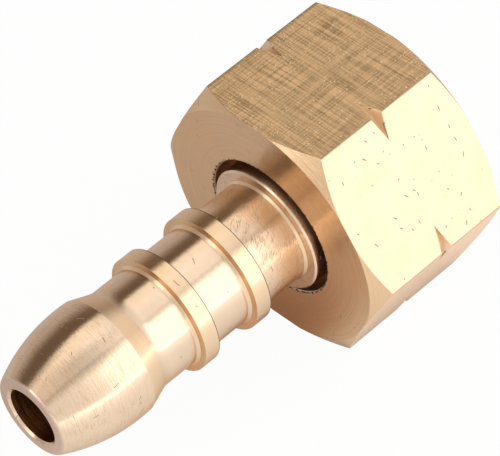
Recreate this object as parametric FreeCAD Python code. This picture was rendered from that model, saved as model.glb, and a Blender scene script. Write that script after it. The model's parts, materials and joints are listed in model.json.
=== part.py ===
import FreeCAD, Part
import math
import os

# Left-hand fuel gas hose connector: a union nut that turns on a ribbed hose tail.
# Millimetres. The common axis is X: the hose tail's nose points to -X, and the nut's
# thread opens to +X. The origin is on the axis, in the plane of the nut's inner
# shoulder, where the tail's flange bears. Two flats of the nut are level, and the
# connector lies on the lower one. A place "from the nut" is measured from the nut's
# front face towards the nose.

# Union nut, outside
ACROSS_FLATS = 19.0
NUT_LENGTH = 12.3
# the circle in which each end chamfer meets the end face, over the flats
END_FACE_OVER_FLATS = 0.1
# slope of the end chamfers, from the end face, in degrees
END_CHAMFER_ANGLE = 33.0
# V notch turned round the corners at mid-length, the mark of a left-hand thread
NOTCH_DEPTH = 0.89
NOTCH_ANGLE = 60.0
# how far the turning outline passes the corners of the bar
TURNING_MARGIN = 1.0

# Union nut, inside: female thread G 3/8 left-hand, bored to its minor diameter
SHOULDER_THICKNESS = 2.2
THREAD_MAJOR_DIAMETER = 16.662
THREAD_MINOR_DIAMETER = 14.950
RELIEF_DEPTH = 0.25
RELIEF_CORNER = 0.3
MOUTH_OVER_THREAD = 0.3
HOLE_EDGE_CHAMFER = 0.1

# Fits between nut and tail
COLLAR_CLEARANCE = 0.54
FLANGE_CLEARANCE = 0.2
FLANGE_GAP = 0.1
THREAD_PAST_SEAT = 0.25

# Hose tail: stem and ribs
STEM_DIAMETER = 7.9
RIB_HEIGHT = 0.65
RIB_COUNT = 2
RIB_WIDTH = 1.28
RIB_FRONT_LENGTH = 0.26
# the 45 degree foot of the rib's front, under its steep face
RIB_FRONT_FOOT = 0.19
RIB_EDGE_CHAMFER = 0.06
RIB_PITCH = 4.85
FIRST_RIB_FROM_NUT = 4.45

# Hose tail: flare, crowned nose and gas bore
FLARE_FROM_LAST_RIB = 6.0
FLARE_LENGTH = 1.75
FLARE_BLEND_RADIUS = 2.0
NOSE_HEIGHT = 0.65
NOSE_LENGTH = 7.0
CROWN_FROM_FLARE = 0.9
TIP_RADIUS = 0.4
TIP_LAND = 0.53
BORE_DIAMETER = 4.3
BORE_MOUTH_CHAMFER = 0.18

# Hose tail: collar, flange and rounded metal seat
COLLAR_OVER_RIBS = 0.3
COLLAR_PROUD = 0.46
COLLAR_CHAMFER = 0.12
COLLAR_FRONT_ROOT = 0.16
COLLAR_REAR_ROOT = 0.2
FLANGE_THICKNESS = 1.6
FLANGE_EDGE_CHAMFER = 0.25
FLANGE_LAND = 0.575
SEAT_STEP = 0.1
SEAT_BAND = 1.3
# slope of the seat's ball where it starts at the flange, from square, in degrees
SEAT_EDGE_ANGLE = 61.8
SEAT_BORE_CHAMFER = 0.3

AXIS = FreeCAD.Vector(1, 0, 0)
CENTRE = FreeCAD.Vector(0, 0, 0)
HEXAGON_SIDES = 6

# Radii and places that follow from the sizes above
stem_r = STEM_DIAMETER / 2
rib_r = stem_r + RIB_HEIGHT
nose_r = stem_r + NOSE_HEIGHT
collar_r = max(rib_r, nose_r) + COLLAR_OVER_RIBS
hole_r = collar_r + COLLAR_CLEARANCE
bore_r = BORE_DIAMETER / 2
minor_r = THREAD_MINOR_DIAMETER / 2
flange_r = minor_r - FLANGE_CLEARANCE
seat_outer_r = flange_r - FLANGE_LAND
seat_inner_r = seat_outer_r - SEAT_BAND
relief_r = THREAD_MAJOR_DIAMETER / 2 + RELIEF_DEPTH
mouth_r = THREAD_MAJOR_DIAMETER / 2 + MOUTH_OVER_THREAD
corner_r = ACROSS_FLATS / math.sqrt(3)
end_face_r = ACROSS_FLATS / 2 + END_FACE_OVER_FLATS / 2

nut_front_x = -SHOULDER_THICKNESS
nut_rear_x = nut_front_x + NUT_LENGTH
notch_x = (nut_front_x + nut_rear_x) / 2
collar_face_x = nut_front_x - COLLAR_PROUD
last_rib_x = nut_front_x - FIRST_RIB_FROM_NUT - (RIB_COUNT - 1) * RIB_PITCH
flare_x = last_rib_x - FLARE_FROM_LAST_RIB
crown_x = flare_x - CROWN_FROM_FLARE
tip_x = flare_x - NOSE_LENGTH
tip_face_r = bore_r + BORE_MOUTH_CHAMFER + TIP_LAND
flange_rear_x = FLANGE_GAP
flange_front_x = flange_rear_x + FLANGE_THICKNESS
seat_start_x = flange_front_x + SEAT_STEP

# the nose's crown is one long arc, level at crown_x, that meets the tip's small round
tip_round_x = tip_x + TIP_RADIUS
crown_run = crown_x - tip_round_x
crown_fall = nose_r - tip_face_r
crown_arc_r = (crown_run**2 + crown_fall**2 - TIP_RADIUS**2) / (2 * (crown_fall - TIP_RADIUS))

# the seat is a zone of a ball whose centre lies on the axis
ball_r = seat_outer_r / math.sin(math.radians(SEAT_EDGE_ANGLE))
ball_x = seat_start_x - math.sqrt(ball_r**2 - seat_outer_r**2)
seat_end_x = ball_x + math.sqrt(ball_r**2 - seat_inner_r**2)
thread_start_x = seat_end_x + THREAD_PAST_SEAT


def at(point):
    """The place of an outline's point, (x, radius, ...), in the plane y = 0."""
    return FreeCAD.Vector(point[0], 0, point[1])


def arc(centre, radius, start, end):
    """The shorter arc of a circle between two (x, radius) points that lie on it."""
    middle = at(start) + at(end) - at(centre) * 2
    middle.normalize()
    return Part.Arc(at(start), at(centre) + middle * radius, at(end)).toShape()


def chain(corners):
    """Straight edges through corners (x, radius) or (x, radius, rounding)."""
    edges = []
    start = at(corners[0])
    for before, here, after in zip(corners, corners[1:], corners[2:]):
        corner = at(here)
        if len(here) == 2:
            edges.append(Part.LineSegment(start, corner).toShape())
            start = corner
            continue
        rounding = here[2]
        back = (at(before) - corner).normalize()
        ahead = (at(after) - corner).normalize()
        half_angle = back.getAngle(ahead) / 2
        reach = rounding / math.tan(half_angle)
        inwards = (back + ahead).normalize()
        middle = corner + inwards * (rounding / math.sin(half_angle) - rounding)
        leave = corner + back * reach
        join = corner + ahead * reach
        edges.append(Part.LineSegment(start, leave).toShape())
        edges.append(Part.Arc(leave, middle, join).toShape())
        start = join
    edges.append(Part.LineSegment(start, at(corners[-1])).toShape())
    return edges


def turned(edges):
    """The solid that a closed half outline sweeps round the axis."""
    face = Part.Face(Part.Wire(Part.__sortEdges__(edges)))
    return face.revolve(CENTRE, AXIS, 360)


def crown_r(x):
    """The crowned nose's radius at x."""
    return nose_r - crown_arc_r + math.sqrt(crown_arc_r**2 - (x - crown_x) ** 2)


def seat_outline():
    """The rounded seat, from the flange out to the flat end."""
    return [arc((ball_x, 0), ball_r, (seat_end_x, seat_inner_r), (seat_start_x, seat_outer_r))]


def flange_and_collar_corners():
    """The flange that the nut pulls on, and the collar that passes through the nut."""
    return [
        (seat_start_x, seat_outer_r),
        (flange_front_x, seat_outer_r),
        (flange_front_x, flange_r - FLANGE_EDGE_CHAMFER),
        (flange_front_x - FLANGE_EDGE_CHAMFER, flange_r),
        (flange_rear_x + FLANGE_EDGE_CHAMFER, flange_r),
        (flange_rear_x, flange_r - FLANGE_EDGE_CHAMFER),
        (flange_rear_x, collar_r + COLLAR_REAR_ROOT),
        (flange_rear_x - COLLAR_REAR_ROOT, collar_r),
        (collar_face_x + COLLAR_CHAMFER, collar_r),
        (collar_face_x, collar_r - COLLAR_CHAMFER),
        (collar_face_x, stem_r + COLLAR_FRONT_ROOT),
        (collar_face_x - COLLAR_FRONT_ROOT, stem_r),
    ]


def rib_corners(rear_x):
    """One rib: square at the rear, where it holds the hose, and steep in front over a sloped foot."""
    front_x = rear_x - RIB_WIDTH
    foot_x = front_x - RIB_FRONT_LENGTH
    edge = RIB_EDGE_CHAMFER
    return [
        (rear_x, stem_r),
        (rear_x, rib_r - edge),
        (rear_x - edge, rib_r),
        (front_x + edge, rib_r),
        (front_x, rib_r - edge),
        (foot_x + RIB_FRONT_FOOT, stem_r + RIB_FRONT_FOOT),
        (foot_x, stem_r),
    ]


def nose_outline():
    """The crown from the flare, and the round that blends it into the flat tip."""
    centre = (crown_x, nose_r - crown_arc_r)
    # the round touches the crown from inside, in line with both centres
    touch_x = crown_x - crown_run * crown_arc_r / (crown_arc_r - TIP_RADIUS)
    touch = (touch_x, crown_r(touch_x))
    return [
        arc(centre, crown_arc_r, (flare_x, crown_r(flare_x)), touch),
        arc((tip_round_x, tip_face_r), TIP_RADIUS, touch, (tip_x, tip_face_r)),
    ]


def hose_tail():
    """Nose, ribbed stem, collar, flange and seat, turned and bored in one piece."""
    corners = flange_and_collar_corners()
    for number in range(RIB_COUNT):
        corners += rib_corners(nut_front_x - FIRST_RIB_FROM_NUT - number * RIB_PITCH)
    corners += [
        (flare_x + FLARE_LENGTH, stem_r, FLARE_BLEND_RADIUS),
        (flare_x, crown_r(flare_x)),
    ]
    inside = chain(
        [
            (tip_x, tip_face_r),
            (tip_x, bore_r + BORE_MOUTH_CHAMFER),
            (tip_x + BORE_MOUTH_CHAMFER, bore_r),
            (seat_end_x - SEAT_BORE_CHAMFER, bore_r),
            (seat_end_x, bore_r + SEAT_BORE_CHAMFER),
            (seat_end_x, seat_inner_r),
        ]
    )
    return turned(seat_outline() + chain(corners) + nose_outline() + inside)


def hexagon_bar():
    """Hexagon bar with two level flats, from the nut's front face to its rear face."""
    points = []
    for number in range(HEXAGON_SIDES + 1):
        angle = 2 * math.pi * number / HEXAGON_SIDES
        y = corner_r * math.cos(angle)
        z = corner_r * math.sin(angle)
        points.append(FreeCAD.Vector(nut_front_x, y, z))
    return Part.Face(Part.makePolygon(points)).extrude(AXIS * NUT_LENGTH)


def nut_turned_outside():
    """The turned outline that trims the bar: both end chamfers and the V notch."""
    outer = corner_r + TURNING_MARGIN
    chamfer = (outer - end_face_r) * math.tan(math.radians(END_CHAMFER_ANGLE))
    root_r = corner_r - NOTCH_DEPTH
    half_width = (outer - root_r) * math.tan(math.radians(NOTCH_ANGLE / 2))
    corners = [
        (nut_front_x, 0),
        (nut_front_x, end_face_r),
        (nut_front_x + chamfer, outer),
        (notch_x - half_width, outer),
        (notch_x, root_r),
        (notch_x + half_width, outer),
        (nut_rear_x - chamfer, outer),
        (nut_rear_x, end_face_r),
        (nut_rear_x, 0),
        (nut_front_x, 0),
    ]
    return turned(chain(corners))


def nut_cavity():
    """What is bored out: the loose hole, shoulder, relief, thread bore and mouth."""
    edge = HOLE_EDGE_CHAMFER
    corners = [
        (nut_front_x, 0),
        (nut_front_x, hole_r + edge),
        (nut_front_x + edge, hole_r),
        (-edge, hole_r),
        (0, hole_r + edge),
        (0, relief_r - RELIEF_CORNER),
        (RELIEF_CORNER, relief_r),
        (thread_start_x - (relief_r - minor_r), relief_r),
        (thread_start_x, minor_r),
        (nut_rear_x - (mouth_r - minor_r), minor_r),
        (nut_rear_x, mouth_r),
        (nut_rear_x, 0),
        (nut_front_x, 0),
    ]
    return turned(chain(corners))


def union_nut():
    """Hexagon nut with chamfered ends, notched corners and a stepped bore."""
    return hexagon_bar().common(nut_turned_outside()).cut(nut_cavity())


os.makedirs("parts", exist_ok=True)
for name, make in (("hose_tail", hose_tail), ("union_nut", union_nut)):
    shape = make()
    print(name, "solids", len(shape.Solids), "valid", shape.isValid(), "volume", round(shape.Volume, 2))
    shape.Solids[0].exportStep("parts/" + name + ".step")
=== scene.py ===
"""The looks of a left-hand fuel gas hose connector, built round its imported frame.

Metres throughout. The common axis is X: the nose points to -X and the nut's thread opens to +X.
The connector is two pieces of brass: a turned, ribbed hose tail, and the union nut that swivels on it.
"""

import inspect
import json
import math

import bpy
from bpy.props import FloatProperty, FloatVectorProperty, IntProperty, PointerProperty
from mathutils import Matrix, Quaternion, Vector


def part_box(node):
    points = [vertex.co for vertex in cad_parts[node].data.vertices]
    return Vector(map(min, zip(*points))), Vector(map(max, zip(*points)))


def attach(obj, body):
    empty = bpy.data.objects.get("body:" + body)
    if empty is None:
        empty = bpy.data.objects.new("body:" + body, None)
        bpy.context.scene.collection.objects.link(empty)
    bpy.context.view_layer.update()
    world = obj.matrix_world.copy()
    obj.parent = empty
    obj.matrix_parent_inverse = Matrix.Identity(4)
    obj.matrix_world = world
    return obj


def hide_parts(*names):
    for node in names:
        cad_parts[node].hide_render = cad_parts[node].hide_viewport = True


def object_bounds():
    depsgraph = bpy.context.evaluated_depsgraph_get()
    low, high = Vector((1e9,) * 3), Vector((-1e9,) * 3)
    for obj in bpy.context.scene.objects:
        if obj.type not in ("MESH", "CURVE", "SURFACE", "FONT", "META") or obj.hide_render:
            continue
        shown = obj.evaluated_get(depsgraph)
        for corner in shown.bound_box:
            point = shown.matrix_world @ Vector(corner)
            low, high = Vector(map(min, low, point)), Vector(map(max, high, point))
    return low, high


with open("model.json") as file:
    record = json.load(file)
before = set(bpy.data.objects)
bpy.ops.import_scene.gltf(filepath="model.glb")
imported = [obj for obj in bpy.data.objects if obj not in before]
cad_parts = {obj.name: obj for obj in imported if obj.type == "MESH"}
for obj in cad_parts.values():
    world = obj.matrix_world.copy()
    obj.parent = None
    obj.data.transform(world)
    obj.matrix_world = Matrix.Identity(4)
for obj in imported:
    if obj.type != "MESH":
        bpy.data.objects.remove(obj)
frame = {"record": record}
cad_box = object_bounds()

bl_info = {
    "name": "Gas Hose Connector",
    "version": (1, 0, 0),
    "blender": (4, 5, 0),
    "location": "View3D > Sidebar > Connector",
    "description": "Builds a brass union nut on a ribbed hose tail, with its stage",
    "category": "Add Mesh",
}

MM = 0.001
TAU = 2 * math.pi

mounts = {mount["name"]: mount for mount in frame["record"]["mounts"]}
tail_low, tail_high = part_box("hose_tail")
nut_low, nut_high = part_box("union_nut")


def mount_radius(name):
    """The radius that the record gives for a round mount, in metres."""
    return mounts[name]["dims"]["r_mm"] * MM


# Properties

def length(name, description, millimetres):
    """A length that a user may change, in metres, with its default given in millimetres."""
    return FloatProperty(
        name=name, description=description, default=millimetres * MM, min=0.0, precision=5, unit="LENGTH"
    )


def angle(name, description, degrees):
    """An angle that a user may change, with its default given in degrees."""
    return FloatProperty(name=name, description=description, default=math.radians(degrees), subtype="ANGLE")


def colour(name, description, values):
    """A linear colour that a user may change."""
    return FloatVectorProperty(
        name=name, description=description, default=values, min=0.0, max=1.0, size=3, subtype="COLOR"
    )


def level(name, description, value):
    """A brightness that a user may change."""
    return FloatProperty(name=name, description=description, default=value, min=0.0)


class TailSizes(bpy.types.PropertyGroup):
    """Sizes of the hose tail, beyond those that the frame gives."""

    stem_radius: length("Stem radius", "Plain stem between the ribs", 3.95)
    rib_count: IntProperty(name="Ribs", description="Ribs that hold the hose", default=2, min=0, max=6)
    rib_width: length("Rib width", "Width of a rib over its crest", 1.28)
    rib_front: length("Rib front", "Length of a rib's front, foot included", 0.26)
    rib_foot: length("Rib foot", "Sloped foot under the steep front of a rib", 0.19)
    rib_pitch: length("Rib pitch", "Distance from one rib to the next", 4.85)
    first_rib: length("First rib", "From the nut's front face to the first rib", 4.45)
    flare_distance: length("Flare distance", "From the last rib's rear to the front of the flare", 6.0)
    flare_length: length("Flare length", "Length of the cone that opens to the nose", 1.75)
    flare_band: length("Flare band", "Width of the slower cut on the flare", 1.3)
    flare_blend: length("Flare blend", "Radius between the last stem and the flare", 2.0)
    crown_distance: length("Crown distance", "From the flare to the widest place of the nose", 0.9)
    tip_round: length("Tip round", "Radius at the rim of the nose's flat tip", 0.4)
    tip_land: length("Tip land", "Width of the flat ring round the bore", 0.53)
    bore_chamfer: length("Bore chamfer", "Chamfer at the mouth of the bore", 0.18)
    collar_over_rib: length("Collar over rib", "How far the collar stands over the ribs", 0.3)
    collar_proud: length("Collar proud", "How far the collar stands out of the nut", 0.46)
    collar_chamfer: length("Collar chamfer", "Chamfer at the collar's front edge", 0.12)
    collar_root: length("Collar root", "Sloped foot between the stem and the collar", 0.16)
    flange_gap: length("Flange gap", "Play between the flange and the nut's shoulder", 0.1)
    flange_thickness: length("Flange thickness", "Thickness of the flange inside the nut", 1.6)
    flange_clearance: length("Flange clearance", "Play between the flange and the thread", 0.2)
    flange_chamfer: length("Flange chamfer", "Chamfer at the flange's edges", 0.25)
    flange_land: length("Flange land", "Width of the flange's face round the seat", 0.575)
    seat_step: length("Seat step", "Short cylinder at the seat's foot", 0.1)
    seat_band: length("Seat band", "Width of the rounded sealing band", 1.3)
    seat_angle: angle("Seat angle", "Slope of the seat at its foot, from square", 61.8)
    seat_bore_chamfer: length("Seat bore chamfer", "Chamfer of the bore in the seat", 0.3)
    edge_round: length("Edge round", "Small round on turned edges", 0.035)
    segments: IntProperty(name="Segments", description="Faces round the tail", default=288, min=24, max=720)


class NutSizes(bpy.types.PropertyGroup):
    """Sizes of the union nut, beyond those that the frame gives."""

    chamfer_start: length("Chamfer start", "How far the end chamfer starts outside the flats", 0.05)
    chamfer_angle: angle("Chamfer angle", "Slope of the end chamfers, from the end face", 33.0)
    notch_depth: length("Notch depth", "Depth of the V notch at a corner", 0.89)
    notch_angle: angle("Notch angle", "Angle between the walls of the V notch", 60.0)
    hole_clearance: length("Hole clearance", "Play between the front hole and the collar", 0.54)
    hole_chamfer: length("Hole chamfer", "Chamfer at both edges of the front hole", 0.1)
    thread_pitch: length("Thread pitch", "Pitch of the left-hand thread", 1.337)
    thread_major: length("Thread major radius", "Radius at the thread's root", 8.331)
    thread_rounding: length("Thread rounding", "Softness of the thread's crests and roots", 0.2)
    relief_depth: length("Relief depth", "Depth of the relief under the thread's root", 0.25)
    relief_corner: length("Relief corner", "Chamfer in the corner of the relief", 0.3)
    mouth_depth: length("Mouth depth", "Depth of the mouth's cone under the thread's root", 0.3)
    thread_past_seat: length("Thread past seat", "From the seat's end to the first full thread", 0.25)
    edge_round: length("Edge round", "Small round on the nut's edges", 0.05)
    corner_round: length("Corner round", "Round along the six corners of the bar", 0.09)


class BrassColours(bpy.types.PropertyGroup):
    """Colours of the brass, as light renders them."""

    turned: colour("Turned brass", "Bright turned surfaces", (0.86, 0.65, 0.475))
    drawn: colour("Drawn brass", "Flats of the hexagon bar", (1.0, 0.70, 0.48))
    # painted glint: the pale colour of the raised specks on the top flat stands for their glints
    fleck: colour("Fleck", "Torn specks on the flats", (1.0, 0.90, 0.66))
    # painted shade: the flat on top is tinted browner for how light falls on it
    aged: colour("Aged brass", "Tint of the flat that has aged", (0.92, 0.68, 0.28))
    speck: colour("Speck", "Small dark marks on the flats", (0.17, 0.27, 0.22))
    # painted shade: the dark red-brown of the bore and the thread stands for their shade
    bored: colour("Bored brass", "Inside the bore and the thread", (0.46, 0.21, 0.08))
    faced: colour("Faced brass", "Dull pinkish flat at the nose's tip", (0.74, 0.53, 0.45))
    golden: colour("Golden brass", "The flare and the ribs' crests", (0.89, 0.65, 0.43))
    deep: colour("Deep golden brass", "The nut's turned faces", (0.87, 0.59, 0.35))
    grazing: colour("Grazing tint", "Tint of reflections at grazing angles", (0.95, 0.87, 0.80))
    groove: colour("Grooves", "Fine lines drawn into the flats", (0.50, 0.34, 0.15))
    # the dark colour also paints the shade line at the ribs' rear edges, and a little shade on the hole wall
    dark: colour("Dark marks", "Pits and deep scratches", (0.16, 0.10, 0.06))


class StageSettings(bpy.types.PropertyGroup):
    """The camera, lamps and floor."""

    camera_azimuth: angle("Camera azimuth", "0 looks along +Y, 90 along -X", -37.09)
    camera_elevation: angle("Camera elevation", "Height of the camera over the horizon", 46.2)
    camera_roll: angle("Camera roll", "Turn of the camera about its line of sight", -9.93)
    camera_distance: length("Camera distance", "From the camera to what it looks at", 254.8)
    camera_aim: FloatVectorProperty(
        name="Camera aim",
        description="The place that the camera looks at",
        default=(-3.161 * MM, 0.982 * MM, 0.0),
        size=3,
        precision=5,
        subtype="TRANSLATION",
    )
    lens: FloatProperty(name="Lens", description="Focal length in millimetres", default=267.4, min=1.0)
    floor_colour: colour("Floor", "Pale floor and surroundings", (0.92, 0.92, 0.92))
    world_level: level("World level", "Light of the surroundings", 1.0)
    key_level: level("Key level", "Brightness of the key softbox", 0.88)
    left_level: level("Left level", "Brightness of the left softbox", 0.5)
    edge_level: level("Edge level", "Brightness of the edge lamp", 0.55)
    top_level: level("Top level", "Brightness of the top softbox", 0.25)


# Node trees

class Value:
    """One output of a node. A sum or a comparison with it adds a Math node to its tree."""

    def __init__(self, socket, maker):
        self.socket = socket
        self.maker = maker

    def __add__(self, other):
        return self.maker.math("ADD", self, other)

    def __sub__(self, other):
        return self.maker.math("SUBTRACT", self, other)

    def __rsub__(self, other):
        return self.maker.math("SUBTRACT", other, self)

    def __mul__(self, other):
        return self.maker.math("MULTIPLY", self, other)

    def __truediv__(self, other):
        return self.maker.math("DIVIDE", self, other)

    def __gt__(self, other):
        return self.maker.math("GREATER_THAN", self, other)

    def __lt__(self, other):
        return self.maker.math("LESS_THAN", self, other)

    def __abs__(self):
        return self.maker.math("ABSOLUTE", self)


class NodeMaker:
    """Adds nodes to one tree and joins them, so that a tree reads as a list of steps."""

    SPACING = 180

    def __init__(self, tree):
        self.tree = tree

    def join(self, value, socket):
        """Links a node's value to the input, or sets the input's own default."""
        if isinstance(value, Value):
            self.tree.links.new(value.socket, socket)
        else:
            socket.default_value = value

    def node(self, kind, inputs=None, **settings):
        """A new node with its settings and inputs, which are given by name or number."""
        node = self.tree.nodes.new(kind)
        node.location = (len(self.tree.nodes) * self.SPACING, 0)
        for name, value in settings.items():
            setattr(node, name, value)
        for key, value in (inputs or {}).items():
            self.join(value, node.inputs[key])
        return node

    def add(self, kind, inputs=None, output=0, **settings):
        """One output of a new node."""
        return Value(self.node(kind, inputs, **settings).outputs[output], self)

    def outputs(self, node):
        """All outputs of a node by their names."""
        return {socket.name: Value(socket, self) for socket in node.outputs}

    def math(self, operation, *values):
        """A Math node's result."""
        return self.add("ShaderNodeMath", dict(enumerate(values)), operation=operation)

    def vector(self, operation, *values):
        """A Vector Math node's result."""
        output = "Value" if operation in {"LENGTH", "DISTANCE", "DOT_PRODUCT"} else "Vector"
        return self.add("ShaderNodeVectorMath", dict(enumerate(values)), output, operation=operation)

    def scale(self, vector, factor):
        """A vector times a number."""
        return self.add("ShaderNodeVectorMath", {0: vector, "Scale": factor}, operation="SCALE")

    def rotate(self, vector, turn):
        """A vector turned about Z."""
        return self.add("ShaderNodeVectorRotate", {"Vector": vector, "Angle": turn}, rotation_type="Z_AXIS")

    def separate(self, vector):
        """The three parts of a vector."""
        return self.outputs(self.node("ShaderNodeSeparateXYZ", {0: vector})).values()

    def combine(self, x=0.0, y=0.0, z=0.0):
        """A vector from three parts."""
        return self.add("ShaderNodeCombineXYZ", {0: x, 1: y, 2: z})

    def ramp(self, value, low, high, to_low=0.0, to_high=1.0):
        """A value mapped smoothly from one range to another, and kept inside it."""
        inputs = {"Value": value, "From Min": low, "From Max": high, "To Min": to_low, "To Max": to_high}
        return self.add("ShaderNodeMapRange", inputs, "Result", interpolation_type="SMOOTHSTEP")

    def fall(self, value, low, high):
        """1 under the low limit and 0 over the high one, with a smooth fall between them."""
        return self.ramp(value, low, high, 1.0, 0.0)

    def mix(self, factor, first, second):
        """A mix of two colours, each a node's value or three numbers."""
        first, second = (part if isinstance(part, Value) else (*part, 1.0) for part in (first, second))
        return self.add("ShaderNodeMix", {0: factor, 6: first, 7: second}, 2, data_type="RGBA")

    def layered(self, base, *layers):
        """A colour taken layer by layer towards others, each by its own mask."""
        for mask, target in layers:
            base = self.mix(mask, base, target)
        return base

    def total(self, *terms):
        """The sum of values, each times its own share."""
        result = 0.0
        for value, share in terms:
            result = self.math("MULTIPLY_ADD", value, share, result)
        return result


def from_axis(maker, y, z):
    """How far a point lies from the common axis."""
    return maker.vector("LENGTH", maker.combine(0.0, y, z))


def new_group(name, tree_kind, inputs, outputs):
    """An empty node group: the maker of its nodes, its inputs as values, and the sockets of its output.

    A named socket is given by its kind, or by a number that is its default.
    """
    tree = bpy.data.node_groups.new(name, tree_kind)
    for side, sockets in (("INPUT", inputs), ("OUTPUT", outputs)):
        for label, given in sockets.items():
            kind = given if isinstance(given, str) else type(given).__name__.capitalize()
            socket = tree.interface.new_socket(name=label, in_out=side, socket_type="NodeSocket" + kind)
            if kind != given:
                socket.default_value = given
    maker = NodeMaker(tree)
    return maker, maker.outputs(maker.node("NodeGroupInput")), maker.node("NodeGroupOutput").inputs


# Outlines, as (x, radius) in the half plane over the axis

ARC_STEP = math.radians(9)
SUPPORT = 0.04 * MM
HIDDEN_STEP = 0.004 * MM
CROWN_PARTS = 28
FLARE_EDGE_ROUND = 0.05 * MM
FOOT_ROUND = 0.03 * MM
RIB_REAR_FOOT_ROUND = 0.05 * MM
RIB_LINE = 0.07 * MM

# Finishes run from 0, bright cut, to 1, dull. Over 1 they darken with painted shade, the hole wall a little
# and the line at each rib's rear edge fully, and then turn to a bore.
# Under 0 are the milled notches, and under -0.5 the drawn flats.
FLAT, MILLED, BRIGHT, CUT, GOLDEN, DEEP = -1.0, -0.3, 0.1, 0.3, 0.4, 0.5
WORN, FACED, TARNISHED, STAINED, BORED = 0.6, 0.85, 1.13, 1.4, 2.0
DRAWN_BELOW = -0.5
BORED_OVER = 1.5
# where a finish starts to show and where it is full
SHOWS = {
    CUT: (0.15, 0.25),
    GOLDEN: (0.32, 0.38),
    DEEP: (0.42, 0.48),
    WORN: (0.52, 0.58),
    FACED: (0.7, 0.8),
    STAINED: (1.0, 1.4),
}
MILLED_FADES = (-0.25, 0.0)


def arc_points(centre, start, end):
    """Points of the shorter arc from start to end, both included."""
    first = Vector(start) - Vector(centre)
    last = Vector(end) - Vector(centre)
    sweep = first.angle_signed(last)
    steps = max(2, math.ceil(abs(sweep) / ARC_STEP))
    points = []
    for step in range(steps + 1):
        turn = -sweep * step / steps
        x = first.x * math.cos(turn) - first.y * math.sin(turn)
        r = first.x * math.sin(turn) + first.y * math.cos(turn)
        points.append((centre[0] + x, centre[1] + r))
    return points


def corner_arc(before, corner, after):
    """The points that round one corner, with a point beside each end that keeps its neighbours flat."""
    here = Vector(corner[:2])
    back = Vector(before[:2]) - here
    ahead = Vector(after[:2]) - here
    half = back.angle(ahead) / 2
    reach = corner[2] / math.tan(half)
    inwards = (back.normalized() + ahead.normalized()).normalized()
    centre = here + inwards * corner[2] / math.sin(half)
    points = arc_points(centre, here + back.normalized() * reach, here + ahead.normalized() * reach)
    for side, place in ((back, 0), (ahead, len(points) + 1)):
        room = (side.length - reach) / 4
        points.insert(place, tuple(here + side.normalized() * (reach + min(SUPPORT, room))))
    return points


def rounded(corners):
    """The points of an open outline of corners (x, radius, rounding, finish), as (x, radius, finish).

    A corner's finish lasts until the next corner. The first and last corners aren't rounded.
    """
    points = [(*corners[0][:2], corners[0][3])]
    for before, corner, after in zip(corners, corners[1:], corners[2:]):
        if corner[2] == 0:
            if corner[3] != before[3]:
                step = (Vector(before[:2]) - Vector(corner[:2])).normalized() * HIDDEN_STEP
                points.append((corner[0] + step.x, corner[1] + step.y, before[3]))
            points.append((*corner[:2], corner[3]))
            continue
        arc = corner_arc(before, corner, after)
        for number, place in enumerate(arc):
            points.append((*place, before[3] if number < len(arc) / 2 else corner[3]))
    return points + [(*corners[-1][:2], corners[-1][3])]


class TailPlaces:
    """Places and radii of the hose tail that follow from its sizes and the frame."""

    def __init__(self, sizes):
        self.bore_r = mount_radius("gas_way")
        self.rib_r = mount_radius("hose_tail")
        self.minor_r = mount_radius("union_thread")
        self.tip = tail_low.x
        self.seat_end = tail_high.x
        self.collar_r = self.rib_r + sizes.collar_over_rib
        self.collar_face = nut_low.x - sizes.collar_proud
        self.first_rib = nut_low.x - sizes.first_rib
        self.flare = self.first_rib - (sizes.rib_count - 1) * sizes.rib_pitch - sizes.flare_distance
        self.crown = self.flare - sizes.crown_distance
        self.tip_face_r = self.bore_r + sizes.bore_chamfer + sizes.tip_land
        self.flange_r = self.minor_r - sizes.flange_clearance
        self.seat_outer_r = self.flange_r - sizes.flange_land
        self.seat_inner_r = self.seat_outer_r - sizes.seat_band
        self.flange_front = sizes.flange_gap + sizes.flange_thickness
        self.seat_start = self.flange_front + sizes.seat_step


def nose_corners(sizes, places):
    """The flat tip, its round, and the crown as one long arc that the round meets."""
    run = places.crown - places.tip - sizes.tip_round
    fall = places.rib_r - places.tip_face_r
    radius = (run**2 + fall**2 - sizes.tip_round**2) / (2 * (fall - sizes.tip_round))
    centre = (places.crown, places.rib_r - radius)
    round_centre = (places.tip + sizes.tip_round, places.tip_face_r)
    line = Vector(round_centre) - Vector(centre)
    touch = tuple(Vector(centre) + line.normalized() * radius)
    corners = [(places.tip, places.bore_r + sizes.bore_chamfer, sizes.edge_round, FACED)]
    tip = arc_points(round_centre, (places.tip, places.tip_face_r), touch)
    corners += [(*place, 0.0, FACED if 2 * number < len(tip) else CUT) for number, place in enumerate(tip)]
    for part in range(1, CROWN_PARTS + 1):
        x = touch[0] + (places.flare - touch[0]) * part / CROWN_PARTS
        corners.append((x, centre[1] + math.sqrt(radius**2 - (x - places.crown) ** 2), 0.0, CUT))
    corners[-1] = (*corners[-1][:2], FLARE_EDGE_ROUND, GOLDEN)
    return corners


def rib_corners(sizes, places, rear, behind):
    """One rib from its steep front to its square rear. behind is the finish of the stem after it."""
    front = rear - sizes.rib_width
    foot = front - sizes.rib_front
    return [
        (foot, sizes.stem_radius, FOOT_ROUND, GOLDEN),
        (foot + sizes.rib_foot, sizes.stem_radius + sizes.rib_foot, FOOT_ROUND, DEEP),
        (front, places.rib_r, sizes.edge_round, GOLDEN),
        # painted shade: the crest's last strip and the rear wall get the dark line that stands for the shade
        # at the rib's rear edge
        (rear - RIB_LINE, places.rib_r, 0.0, STAINED),
        (rear, places.rib_r, sizes.edge_round, STAINED),
        (rear, sizes.stem_radius, RIB_REAR_FOOT_ROUND, behind),
    ]


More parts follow.
